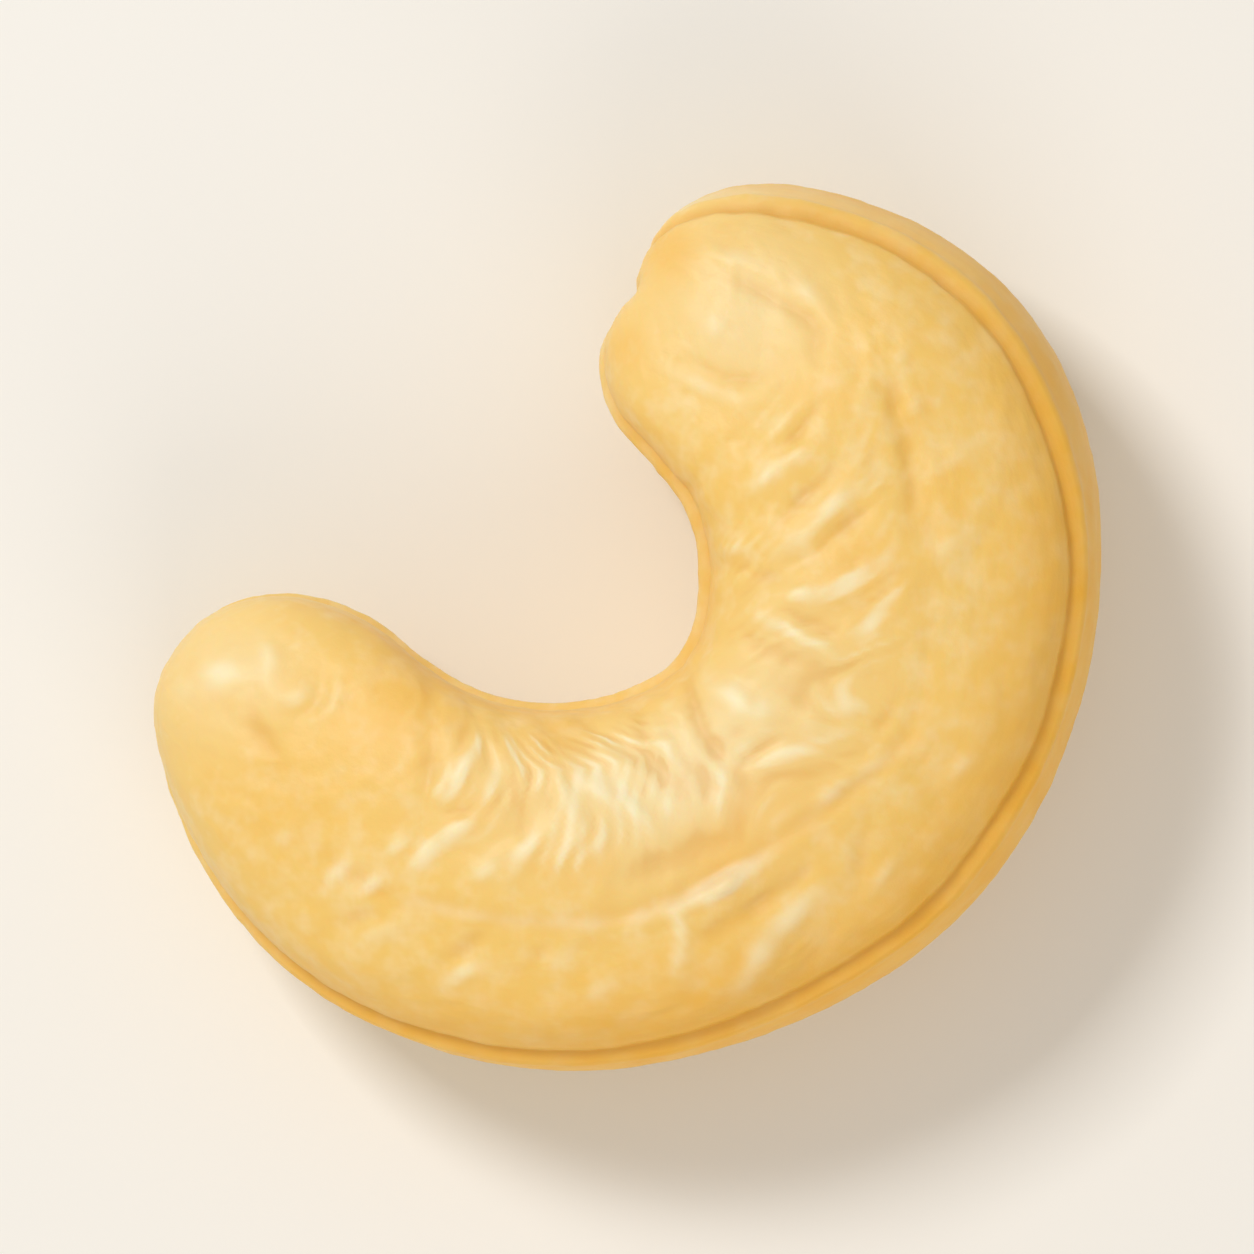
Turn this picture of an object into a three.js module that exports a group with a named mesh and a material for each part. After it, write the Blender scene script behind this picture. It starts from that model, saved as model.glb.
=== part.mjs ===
// A whole roasted cashew kernel, lying on its broad side. Millimetres, +Z up.
//
// The kernel is one grown piece: two seed leaves that meet in a seam, which runs along the convex
// edge, into a pit in the notched tip, and back along the concave edge to the plain tip.
// The skin is a grid of cross-sections. Each section spans two opposite points of the outline
// seen from above, and the sections shrink to a point at both tips.
// X runs to the right and Y up in the view from above, in which the mouth of the C opens up and
// to the left. The origin is under the middle of the kernel, on the surface that it lies on.
import * as THREE from "three";

// Driving dimensions

// The sections from the notched tip to the plain tip.
// outer and inner: the two ends on the convex and the concave edge [x, y].
// thick: the thickness. middle: the height of mid-thickness.
// seam: the height of the seam on the convex edge, in degrees round the section from mid-height.
// hem: the same for the seam on the concave edge.
const NOTCHED_TIP = { at: [0.4, 8.76], middle: 4.3, seam: 10, hem: 12 };
const SECTIONS = [
  { outer: [0.58, 10.04], inner: [-0.42, 7.98], thick: 2.9, middle: 4.3, seam: 32, hem: 19 },
  { outer: [1.71, 11.31], inner: [-0.74, 6.8], thick: 5.4, middle: 4.35, seam: 43, hem: 23 },
  { outer: [4.03, 11.77], inner: [-0.28, 5.43], thick: 7.4, middle: 4.35, seam: 41, hem: 24 },
  { outer: [7.18, 10.94], inner: [0.72, 4.26], thick: 8.6, middle: 4.37, seam: 39, hem: 24 },
  { outer: [10.06, 8.97], inner: [1.58, 2.98], thick: 9.2, middle: 4.63, seam: 40, hem: 24 },
  { outer: [12.03, 5.6], inner: [1.88, 1.53], thick: 9.4, middle: 4.75, seam: 38, hem: 23 },
  { outer: [12.51, 1.05], inner: [1.75, 0.04], thick: 9.5, middle: 4.89, seam: 33, hem: 21 },
  { outer: [11.38, -3.76], inner: [1.05, -1.14], thick: 9.5, middle: 4.73, seam: 34, hem: 17 },
  { outer: [8.58, -7.88], inner: [-0.35, -1.88], thick: 9.4, middle: 4.61, seam: 35, hem: 10 },
  { outer: [4.29, -10.54], inner: [-2.01, -2.14], thick: 9.2, middle: 4.74, seam: 32, hem: 3 },
  { outer: [-0.61, -11.75], inner: [-3.76, -1.88], thick: 9.0, middle: 4.73, seam: 27, hem: -2 },
  { outer: [-5.16, -11.2], inner: [-5.34, -1.05], thick: 8.7, middle: 4.41, seam: 23, hem: -6 },
  { outer: [-8.84, -9.19], inner: [-6.74, 0.04], thick: 8.2, middle: 4.01, seam: 13, hem: -8 },
  { outer: [-11.29, -6.26], inner: [-8.31, 0.7], thick: 7.1, middle: 3.91, seam: -2, hem: -9 },
  { outer: [-12.43, -3.59], inner: [-9.89, 0.79], thick: 5.3, middle: 3.83, seam: -10, hem: -8 },
  { outer: [-12.6, -1.75], inner: [-11.24, 0.25], thick: 2.8, middle: 3.75, seam: -11, hem: -4 },
];
const PLAIN_TIP = { at: [-12.03, -0.54], middle: 3.7, seam: -8, hem: 2 };

const SECTION_SQUARENESS = 0.06; // third harmonic of a section: 0 is an ellipse
const CROWN_TOWARDS_INNER = 0.12; // shift of a section's highest line, as a share of its half width

// The groove of the seam on the convex edge and, as the hem, on the concave edge. It has a lip
// below it, and above it the skin stands a step further in.
const SEAM = {
  depth: 0.1, hemDepth: 0.05, halfWidth: 0.18, lip: 0.13, lipBelow: 0.42, step: 0.08, stepReach: 1.1,
};

// The pit in the notched tip, and the creases that run out from it: direction, reach and depth.
const PIT = { depth: 0.5, radius: 0.42 };
const PIT_CREASES = [
  { degrees: 86, reach: 1.6, depth: 0.85 },
  { degrees: 218, reach: 2.4, depth: 0.2 },
  { degrees: 266, reach: 1.8, depth: 0.75 },
  { degrees: 318, reach: 2.0, depth: 0.16 },
];

// The long crease of each broad side, with a bank along its outer side.
// line: [degrees from tip to tip, degrees round the section, strength].
const CREASE = { depth: 0.1, halfWidth: 0.3, bank: 0.04, bankAside: 0.42 };
const UPPER_CREASE = [
  [10, 80, 0], [44, 77, 0], [54, 77, 0.3], [66, 78, 0.35], [77, 78, 0.15], [83, 74, 0.5],
  [87, 73, 0.6], [91, 80, 0.8], [97, 81, 0.6], [104, 78, 1], [113, 76, 0.8], [124, 75, 0.7],
  [133, 71, 0.4], [142, 70, 0], [170, 80, 0],
];
const LOWER_CREASE = [
  [10, 280, 0], [36, 284, 0], [46, 280, 0.5], [60, 276, 0.9], [72, 282, 0.8], [84, 287, 1],
  [98, 281, 0.8], [112, 285, 1], [124, 281, 0.6], [136, 276, 0.3], [146, 278, 0], [170, 280, 0],
];
const CREASE_BLEND = 5; // degrees over which the line passes from one of its points to the next

// Folds that cross the inner half of each broad side, from the concave edge to the long crease.
const FOLDS = { count: 13, from: 48, to: 130, depth: 0.08, halfWidth: 0.34, bend: 6, seed: 7 };

// Low ripples across the outer half of each broad side.
const RIPPLES = { depth: 0.04, count: 13, skew: 0.5 };

// Round knolls on the broad sides next to the tips, each in a ring-shaped furrow.
const KNOLLS = [
  { at: [2.3, 7.85], side: 1, radius: 1.45, height: 0.08, furrow: 0.03 },
  { at: [-9.6, -1.6], side: 1, radius: 1.35, height: 0.07, furrow: 0.04 },
  { at: [3.2, 8.6], side: -1, radius: 1.6, height: 0.07, furrow: 0.06 },
  { at: [-8.4, -3.2], side: -1, radius: 1.5, height: 0.06, furrow: 0.06 },
];

// Broad raised strokes on the upper side, and sunk ones with a height below 0. Seen from above,
// each runs from one point to another and bows to its left by bend. Towards its ends its height
// falls off by the taper.
const STROKE_TAPER = 0.45;
const STROKES = [
  { from: [1.7, 7.1], to: [4, 7], bend: -0.5, height: -0.05, halfWidth: 0.25 },
  { from: [2.2, -1.4], to: [3.9, -2.9], bend: 0.1, height: 0.1, halfWidth: 0.36 },
  { from: [4.7, -5.05], to: [7.6, -3.2], bend: 0.3, height: 0.06, halfWidth: 0.25 },
  { from: [0.5, -6.35], to: [2.5, -5.5], bend: 0, height: -0.12, halfWidth: 0.38 },
  { from: [3.2, -9.1], to: [4.9, -7.05], bend: 0.2, height: 0.1, halfWidth: 0.36 },
  { from: [-11.4, -1.6], to: [-10.2, -1.2], bend: 0.1, height: 0.1, halfWidth: 0.42 },
];

const SWELLINGS = 0.1; // height of the broad, shallow swellings all over the kernel

const GRID = { along: 112, around: 48 };

// Curves through the driving points

const radians = THREE.MathUtils.degToRad;
const { clamp, lerp, smoothstep } = THREE.MathUtils;

// A closed, evenly spaced cubic B-spline that passes through the values.
function closedSpline(values) {
  const n = values.length;
  const at = (list, i) => list[((i % n) + n) % n];
  let controls = [...values];
  for (let pass = 0; pass < 40; pass++) {
    controls = controls.map((c, i) => {
      const onCurve = (at(controls, i - 1) + 4 * c + at(controls, i + 1)) / 6;
      return c + values[i] - onCurve;
    });
  }
  return (turn) => {
    const place = turn * n;
    const i = Math.floor(place);
    const t = place - i;
    const weights = [
      (1 - t) ** 3 / 6,
      (3 * t ** 3 - 6 * t ** 2 + 4) / 6,
      (-3 * t ** 3 + 3 * t ** 2 + 3 * t + 1) / 6,
      t ** 3 / 6,
    ];
    return weights.reduce((sum, w, k) => sum + w * at(controls, i - 1 + k), 0);
  };
}

// A value given at both tips and at each section, as a function of the angle from the notched
// tip (0) to the plain tip (pi). Its mirror image beyond the tips keeps it smooth there: mirror
// is 1 for a value that is level at the tips, and -1 for a size that shrinks to nothing at them.
function alongKernel(first, rows, last, mirror) {
  const back = [...rows].reverse().map((value) => mirror * value);
  const curve = closedSpline([first, ...rows, last, ...back]);
  return (angle) => curve(angle / (2 * Math.PI));
}

// A smooth blend of the points of a line, weighted by how near they are.
function blended(line, column, along) {
  let sum = 0;
  let weights = 0;
  for (const point of line) {
    const weight = Math.exp(-(((along - radians(point[0])) / radians(CREASE_BLEND)) ** 2));
    sum += weight * point[column];
    weights += weight;
  }
  return sum / weights;
}

const outline = [0, 1].map((axis) =>
  closedSpline([
    NOTCHED_TIP.at[axis],
    ...SECTIONS.map((s) => s.outer[axis]),
    PLAIN_TIP.at[axis],
    ...SECTIONS.map((s) => s.inner[axis]).reverse(),
  ]),
);
const fieldAlong = (name) =>
  alongKernel(NOTCHED_TIP[name], SECTIONS.map((s) => s[name]), PLAIN_TIP[name], 1);
const halfThickness = alongKernel(0, SECTIONS.map((s) => s.thick / 2), 0, -1);
const middle = fieldAlong("middle");
const seamDegrees = fieldAlong("seam");
const hemDegrees = fieldAlong("hem");

// The four lines that run from tip to tip, as angles round the section: 0 is the convex edge, a
// quarter turn is the top, half a turn is the concave edge, three quarters is the underside.
function linesAt(along) {
  return [
    radians(seamDegrees(along)),
    radians(blended(UPPER_CREASE, 1, along)),
    Math.PI - radians(hemDegrees(along)),
    radians(blended(LOWER_CREASE, 1, along)),
  ];
}

// The smooth body

function bodyPoint(along, around) {
  const turn = along / (2 * Math.PI);
  const outer = outline.map((curve) => curve(turn));
  const inner = outline.map((curve) => curve(1 - turn));
  const square = SECTION_SQUARENESS;
  const across =
    (Math.cos(around) - square * Math.cos(3 * around)) / (1 - square) -
    CROWN_TOWARDS_INNER * Math.sin(around) ** 2;
  const up = (Math.sin(around) + square * Math.sin(3 * around)) / (1 - square);
  const [x, y] = [0, 1].map((axis) => lerp(inner[axis], outer[axis], (1 + across) / 2));
  return new THREE.Vector3(x, y, middle(along) + up * halfThickness(along));
}

// How far a radian of each angle takes one over the skin at a point, and the outward normal.
function bodyFrame(along, around) {
  const step = 1e-3;
  const slope = (a, b) => a.sub(b).divideScalar(2 * step);
  const lengthwise = slope(bodyPoint(along + step, around), bodyPoint(along - step, around));
  const crosswise = slope(bodyPoint(along, around + step), bodyPoint(along, around - step));
  const normal = crosswise.clone().cross(lengthwise).normalize();
  return { lengthwise: lengthwise.length(), crosswise: crosswise.length(), normal };
}

// Relief, as heights above the smooth body

const bump = (distance, halfWidth) => Math.exp(-((distance / halfWidth) ** 2));

// The angle from b to a, within half a turn either way.
const turnBetween = (a, b) => Math.atan2(Math.sin(a - b), Math.cos(a - b));

function seamRelief(along, around, lines, frame) {
  const fromSeam = turnBetween(around, lines[0]);
  const fromHem = turnBetween(lines[2], around);
  const atSeam = Math.abs(fromSeam) < Math.abs(fromHem);
  const above = (atSeam ? fromSeam : fromHem) * frame.crosswise;
  const groove = -(atSeam ? SEAM.depth : SEAM.hemDepth) * bump(above, SEAM.halfWidth);
  const lip = SEAM.lip * bump(above + SEAM.lipBelow, 0.6 * SEAM.lipBelow);
  const inset =
    -SEAM.step * smoothstep(above, -SEAM.halfWidth, SEAM.halfWidth) * bump(above, SEAM.stepReach);
  return groove + (lip + inset) * smoothstep(Math.sin(along), 0.1, 0.6);
}

function pitRelief(along, around, frame) {
  const fromPit = along * frame.lengthwise;
  const pit = bump(fromPit, PIT.radius);
  let relief = -PIT.depth * pit;
  for (const { degrees, reach, depth } of PIT_CREASES) {
    const aside = turnBetween(around, radians(degrees)) * frame.crosswise;
    relief -= depth * bump(aside, 0.25 + 0.1 * fromPit) * bump(fromPit, reach) * (1 - pit);
  }
  return relief;
}

function creaseRelief(along, around, lines, frame) {
  const upper = Math.sin(around) >= 0;
  const strength = blended(upper ? UPPER_CREASE : LOWER_CREASE, 2, along);
  const inwards = turnBetween(around, upper ? lines[1] : lines[3]) * (upper ? 1 : -1);
  const outwards = -inwards * frame.crosswise;
  const valley = -CREASE.depth * bump(outwards, CREASE.halfWidth);
  const bank = CREASE.bank * bump(outwards - CREASE.bankAside, 0.6 * CREASE.bankAside);
  return strength * (valley + bank);
}

// A repeatable stream of numbers between 0 and 1.
function seededDraws(seed) {
  let state = seed;
  return () => {
    state = (state * 16807) % 2147483647;
    return state / 2147483647;
  };
}

// The folds of both broad sides, each with its own place, depth, bend and ends.
function drawFolds() {
  const draw = seededDraws(FOLDS.seed);
  const folds = [];
  for (const side of [1, -1]) {
    for (let i = 0; i < FOLDS.count; i++) {
      const share = (i + 0.5 + 0.5 * (draw() - 0.5)) / FOLDS.count;
      folds.push({
        side,
        along: radians(lerp(FOLDS.from, FOLDS.to, share)),
        depth: FOLDS.depth * (0.5 + 0.5 * draw()),
        bend: radians(FOLDS.bend * (2 * draw() - 1)),
        start: radians(154 - 12 * draw()),
        end: radians(104 - 14 * draw()),
      });
    }
  }
  return folds;
}
const folds = drawFolds();

function foldRelief(along, around, frame) {
  const side = Math.sin(around) >= 0 ? 1 : -1;
  const fromConvex = Math.abs(turnBetween(around, 0));
  let relief = 0;
  for (const fold of folds) {
    if (fold.side !== side) continue;
    const run = (fold.start - fromConvex) / (fold.start - fold.end);
    const aside = (along - fold.along - fold.bend * run * run) * frame.lengthwise;
    const within =
      smoothstep(fromConvex, fold.end - 0.25, fold.end + 0.1) *
      (1 - smoothstep(fromConvex, fold.start - 0.1, fold.start + 0.2));
    relief -= within * fold.depth * bump(aside, FOLDS.halfWidth);
  }
  return relief;
}

function rippleRelief(along, around) {
  const fromConvex = Math.abs(turnBetween(around, 0));
  const within =
    smoothstep(fromConvex, radians(28), radians(45)) *
    (1 - smoothstep(fromConvex, radians(62), radians(80)));
  const slow = Math.sin(3 * along + 1) + Math.sin(around);
  const phase = 2 * RIPPLES.count * along + RIPPLES.skew * (4 * around + 2 * slow);
  return RIPPLES.depth * within * Math.sin(phase) * smoothstep(Math.sin(along), 0.3, 0.6);
}

function knollRelief(point, around) {
  const side = Math.sin(around) >= 0 ? 1 : -1;
  let relief = 0;
  for (const knoll of KNOLLS) {
    if (knoll.side !== side) continue;
    const distance = Math.hypot(point.x - knoll.at[0], point.y - knoll.at[1]);
    const ring = bump(distance - knoll.radius, 0.3 * knoll.radius);
    relief += knoll.height * bump(distance, 0.6 * knoll.radius) - knoll.furrow * ring;
  }
  return relief * smoothstep(Math.abs(Math.sin(around)), 0.5, 0.8);
}

function strokeRelief(point, around) {
  let relief = 0;
  for (const { from, to, bend, height, halfWidth } of STROKES) {
    const [runX, runY] = [to[0] - from[0], to[1] - from[1]];
    const [x, y] = [point.x - from[0], point.y - from[1]];
    const length = Math.hypot(runX, runY);
    const ahead = (x * runX + y * runY) / length;
    const share = clamp(ahead / length, 0, 1);
    const beyond = ahead - share * length;
    const aside = (y * runX - x * runY) / length - 4 * bend * share * (1 - share);
    const taper = 1 - STROKE_TAPER * (2 * share - 1) ** 2;
    relief += height * taper * bump(Math.hypot(aside, 0.6 * beyond), halfWidth);
  }
  return relief * smoothstep(Math.sin(around), 0.1, 0.4);
}

// Broad, shallow swellings, as slow waves through space.
function swellingRelief(p) {
  const wave =
    Math.sin(0.63 * p.x + 0.35 * p.y + 0.6) * Math.cos(0.54 * p.y - 0.46 * p.z) +
    0.6 * Math.sin(1.06 * p.y + 0.6 * p.z + 2.1) * Math.cos(0.93 * p.x + 1.3);
  return SWELLINGS * wave;
}

// The skin

// The angle round the section of a place in a row of the grid, as a share of the whole turn. The
// four lines lie at the quarters, and the places crowd towards them, where the relief is finest.
function aroundAt(share, lines) {
  const quarter = Math.floor(4 * share);
  const within = 4 * share - quarter;
  const eased = within - (0.55 * Math.sin(2 * Math.PI * within)) / (2 * Math.PI);
  const next = quarter < 3 ? lines[quarter + 1] : lines[0] + 2 * Math.PI;
  return lerp(lines[quarter], next, eased);
}

function skinPoint(along, share) {
  const lines = linesAt(along);
  const around = aroundAt(share, lines);
  const frame = bodyFrame(along, around);
  const point = bodyPoint(along, around);
  const awayFromTips = smoothstep(Math.sin(along), 0, 0.5);
  const relief =
    seamRelief(along, around, lines, frame) +
    pitRelief(along, around, frame) +
    creaseRelief(along, around, lines, frame) +
    foldRelief(along, around, frame) +
    rippleRelief(along, around) +
    knollRelief(point, around) +
    strokeRelief(point, around) +
    swellingRelief(point) * Math.sin(around) ** 2 * awayFromTips;
  point.addScaledVector(frame.normal, relief);
  point.z = Math.max(point.z, 0); // the low points are worn flat, and the kernel rests on them
  return point;
}

function kernelGeometry() {
  const { along: rows, around: columns } = GRID;
  const ring = (along) =>
    Array.from({ length: columns }, (_, j) => skinPoint(along, j / columns));
  const middleOf = (points) =>
    points.reduce((sum, p) => sum.add(p), new THREE.Vector3()).divideScalar(points.length);

  const points = [];
  for (let i = 1; i < rows; i++) points.push(...ring((Math.PI * i) / rows));
  const first = points.push(middleOf(ring(1e-3))) - 1;
  const last = points.push(middleOf(ring(Math.PI - 1e-3))) - 1;

  const faces = [];
  const vertex = (i, j) => (i - 1) * columns + (j % columns);
  for (let j = 0; j < columns; j++) {
    faces.push(first, vertex(1, j + 1), vertex(1, j));
    for (let i = 1; i < rows - 1; i++) {
      const corners = [vertex(i, j), vertex(i, j + 1), vertex(i + 1, j + 1), vertex(i + 1, j)];
      faces.push(corners[0], corners[1], corners[2], corners[0], corners[2], corners[3]);
    }
    faces.push(last, vertex(rows - 1, j), vertex(rows - 1, j + 1));
  }
  const geometry = new THREE.BufferGeometry().setFromPoints(points);
  geometry.setIndex(faces);
  geometry.computeVertexNormals();
  return geometry;
}

// The part

const roastedFlesh = new THREE.MeshStandardMaterial({
  color: new THREE.Color().setRGB(242 / 255, 203 / 255, 124 / 255, THREE.SRGBColorSpace),
  roughness: 0.5,
  metalness: 0,
});

const kernel = new THREE.Mesh(kernelGeometry(), roastedFlesh);
kernel.name = "cashew_kernel";

const part = new THREE.Group();
part.add(kernel);

export default part;
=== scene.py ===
"""A whole roasted cashew kernel, lying on its broad side on a pale floor.

The kernel repeats the form of its solid, the node cashew_kernel: the same sections, seam, creases
and folds, on a much finer skin. A Geometry Nodes tree then adds the small wrinkles of the inner
bend, the low folds of the outer half, the lumps, the short raised streaks and the dimpled grain.
The form is worked out in millimetres and made in metres, in the row's own frame: +Z up, and X to
the right and Y up in the view from above.
"""
import math

import bpy
import numpy as np
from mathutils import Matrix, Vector


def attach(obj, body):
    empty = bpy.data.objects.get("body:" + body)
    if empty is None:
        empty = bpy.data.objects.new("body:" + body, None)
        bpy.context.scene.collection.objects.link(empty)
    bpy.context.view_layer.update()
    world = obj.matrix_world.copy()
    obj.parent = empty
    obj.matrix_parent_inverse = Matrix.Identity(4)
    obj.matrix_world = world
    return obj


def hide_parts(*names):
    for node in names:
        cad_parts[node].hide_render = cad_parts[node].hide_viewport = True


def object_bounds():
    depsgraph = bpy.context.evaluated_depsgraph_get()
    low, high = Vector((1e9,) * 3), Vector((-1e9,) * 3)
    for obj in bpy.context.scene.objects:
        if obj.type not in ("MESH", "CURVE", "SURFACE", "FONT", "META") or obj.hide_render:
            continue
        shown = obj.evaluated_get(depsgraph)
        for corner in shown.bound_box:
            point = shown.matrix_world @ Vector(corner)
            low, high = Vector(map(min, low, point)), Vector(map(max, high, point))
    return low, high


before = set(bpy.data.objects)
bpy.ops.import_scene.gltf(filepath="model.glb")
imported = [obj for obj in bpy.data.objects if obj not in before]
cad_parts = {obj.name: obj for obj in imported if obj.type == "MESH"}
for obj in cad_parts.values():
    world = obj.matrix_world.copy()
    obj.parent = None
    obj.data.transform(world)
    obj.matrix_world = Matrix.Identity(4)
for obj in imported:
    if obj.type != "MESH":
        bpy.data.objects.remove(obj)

bl_info = {
    "name": "Cashew Kernel",
    "version": (1, 0, 0),
    "blender": (4, 5, 0),
    "location": "View3D > Sidebar > Cashew",
    "description": "Builds a whole roasted cashew kernel and the studio it lies in",
    "category": "Add Mesh",
}

NODE = "cashew_kernel"
FLESH_SLOT = "roasted_flesh"
SOLID_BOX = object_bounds()
MM = 0.001

# Driving dimensions, in millimetres and degrees

# The two tips: x, y, middle, seam, hem. Each section: outer x, y, inner x, y, thick, middle,
# seam, hem. outer and inner are its ends on the convex and the concave edge, middle is the height
# of mid-thickness, and seam and hem are the height of the seam on the convex and on the concave
# edge, in degrees round the section.
NOTCHED_TIP = (0.4, 8.76, 4.3, 10, 12)
SECTIONS = np.array([
    (0.58, 10.04, -0.42, 7.98, 2.9, 4.3, 32, 19),
    (1.71, 11.31, -0.74, 6.8, 5.4, 4.35, 43, 23),
    (4.03, 11.77, -0.28, 5.43, 7.4, 4.35, 41, 24),
    (7.18, 10.94, 0.72, 4.26, 8.6, 4.37, 39, 24),
    (10.06, 8.97, 1.58, 2.98, 9.2, 4.63, 40, 24),
    (12.03, 5.6, 1.88, 1.53, 9.4, 4.75, 38, 23),
    (12.51, 1.05, 1.75, 0.04, 9.5, 4.89, 33, 21),
    (11.38, -3.76, 1.05, -1.14, 9.5, 4.73, 34, 17),
    (8.58, -7.88, -0.35, -1.88, 9.4, 4.61, 35, 10),
    (4.29, -10.54, -2.01, -2.14, 9.2, 4.74, 32, 3),
    (-0.61, -11.75, -3.76, -1.88, 9.0, 4.73, 27, -2),
    (-5.16, -11.2, -5.34, -1.05, 8.7, 4.41, 23, -6),
    (-8.84, -9.19, -6.74, 0.04, 8.2, 4.01, 13, -8),
    (-11.29, -6.26, -8.31, 0.7, 7.1, 3.91, -2, -9),
    (-12.43, -3.59, -9.89, 0.79, 5.3, 3.83, -10, -8),
    (-12.6, -1.75, -11.24, 0.25, 2.8, 3.75, -11, -4),
])
PLAIN_TIP = (-12.03, -0.54, 3.7, -8, 2)

SECTION_SQUARENESS = 0.06
CROWN_TOWARDS_INNER = 0.12

SEAM_DEPTH = 0.1
HEM_DEPTH = 0.05
SEAM_HALF_WIDTH = 0.18
SEAM_LIP = 0.13
SEAM_LIP_BELOW = 0.42
SEAM_STEP = 0.08
SEAM_STEP_REACH = 1.1

PIT_DEPTH = 0.5
PIT_RADIUS = 0.42
# Creases that run out from the pit: direction, reach, depth.
PIT_CREASES = ((86, 1.6, 0.85), (218, 2.4, 0.2), (266, 1.8, 0.75), (318, 2.0, 0.16))

# The long crease of each broad side: degrees from tip to tip, degrees round, strength.
CREASE_DEPTH = 0.1
CREASE_HALF_WIDTH = 0.3
CREASE_BANK = 0.04
CREASE_BANK_ASIDE = 0.42
CREASE_BLEND = 5
UPPER_CREASE = (
    (10, 80, 0), (44, 77, 0), (54, 77, 0.3), (66, 78, 0.35), (77, 78, 0.15), (83, 74, 0.5),
    (87, 73, 0.6), (91, 80, 0.8), (97, 81, 0.6), (104, 78, 1), (113, 76, 0.8), (124, 75, 0.7),
    (133, 71, 0.4), (142, 70, 0), (170, 80, 0),
)
LOWER_CREASE = (
    (10, 280, 0), (36, 284, 0), (46, 280, 0.5), (60, 276, 0.9), (72, 282, 0.8), (84, 287, 1),
    (98, 281, 0.8), (112, 285, 1), (124, 281, 0.6), (136, 276, 0.3), (146, 278, 0), (170, 280, 0),
)

FOLD_COUNT = 13
FOLD_FROM = 48
FOLD_TO = 130
FOLD_DEPTH = 0.08
FOLD_HALF_WIDTH = 0.34
FOLD_BEND = 6
FOLD_SEED = 7

RIPPLE_DEPTH = 0.04
RIPPLE_COUNT = 13
RIPPLE_SKEW = 0.5

# Round knolls near the tips: x, y, side, radius, height, furrow.
KNOLLS = (
    (2.3, 7.85, 1, 1.45, 0.08, 0.03),
    (-9.6, -1.6, 1, 1.35, 0.07, 0.04),
    (3.2, 8.6, -1, 1.6, 0.07, 0.06),
    (-8.4, -3.2, -1, 1.5, 0.06, 0.06),
)

SWELLINGS = 0.1

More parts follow.
